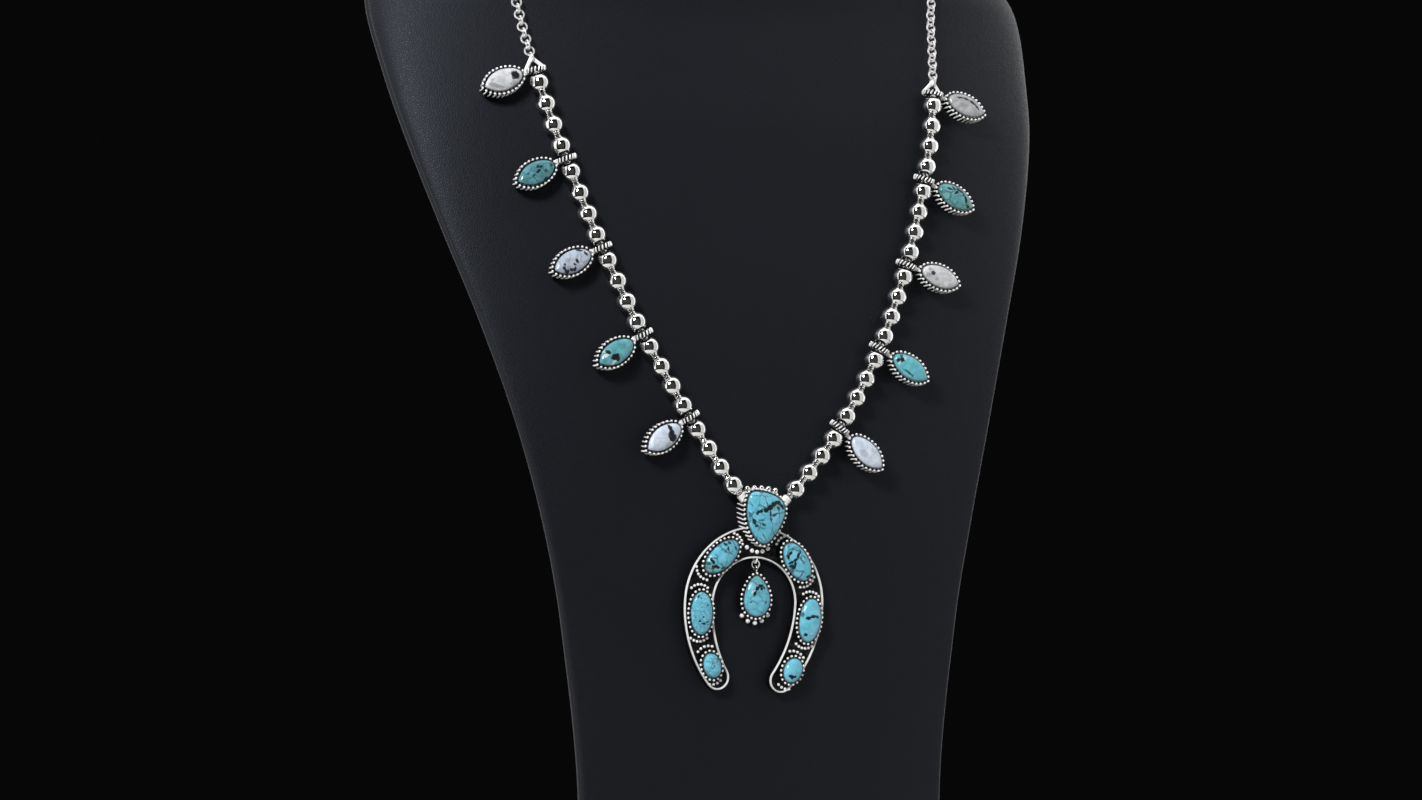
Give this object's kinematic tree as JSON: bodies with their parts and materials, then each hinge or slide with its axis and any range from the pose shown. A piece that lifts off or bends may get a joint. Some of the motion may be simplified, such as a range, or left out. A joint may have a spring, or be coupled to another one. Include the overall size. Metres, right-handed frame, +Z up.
{
  "type": "squash blossom necklace on a neck bust",
  "caption": "Silver bead necklace with pointed stone blossoms and a crescent pendant, hung on a plain dark neck bust.",
  "frame": {"origin": "middle of the foot's underside, on the floor", "axes": "+Z up, the front faces -Y, +X is to the viewer's right"},
  "size_m": [0.2236, 0.1511, 0.402],
  "materials": {
    "leatherette": "fine grained, semi-matt",
    "oxidised_silver": "polished high spots on dark oxidised ground",
    "silver": "mirror polished",
    "wire": "plain",
    "turquoise": "polished stone with dark matrix",
    "white_stone": "polished stone with grey and black matrix"
  },
  "bodies": {
    "root": {"bust_form": "leatherette", "bust_foot": "leatherette", "naja": "oxidised_silver", "top_stone": "turquoise", "naja_stone_1": "turquoise", "naja_stone_2": "turquoise", "naja_stone_3": "turquoise", "naja_stone_4": "turquoise", "naja_stone_5": "turquoise", "naja_stone_6": "turquoise", "drop_link": "silver", "drop_setting": "oxidised_silver", "drop_stone": "turquoise", "blossom_left_1": "oxidised_silver", "blossom_left_2": "oxidised_silver", "blossom_left_3": "oxidised_silver", "blossom_left_4": "oxidised_silver", "blossom_left_5": "oxidised_silver", "blossom_right_1": "oxidised_silver", "blossom_right_2": "oxidised_silver", "blossom_right_3": "oxidised_silver", "blossom_right_4": "oxidised_silver", "blossom_right_5": "oxidised_silver", "stone_left_1": "white_stone", "stone_left_2": "turquoise", "stone_left_3": "white_stone", "stone_left_4": "turquoise", "stone_left_5": "white_stone", "stone_right_1": "white_stone", "stone_right_2": "turquoise", "stone_right_3": "white_stone", "stone_right_4": "turquoise", "stone_right_5": "white_stone", "beads_left": "silver", "beads_right": "silver", "thread_left": "wire", "thread_right": "wire", "chain_left": "silver", "chain_right": "silver", "clasp": "silver"}
  },
  "joints": []
}
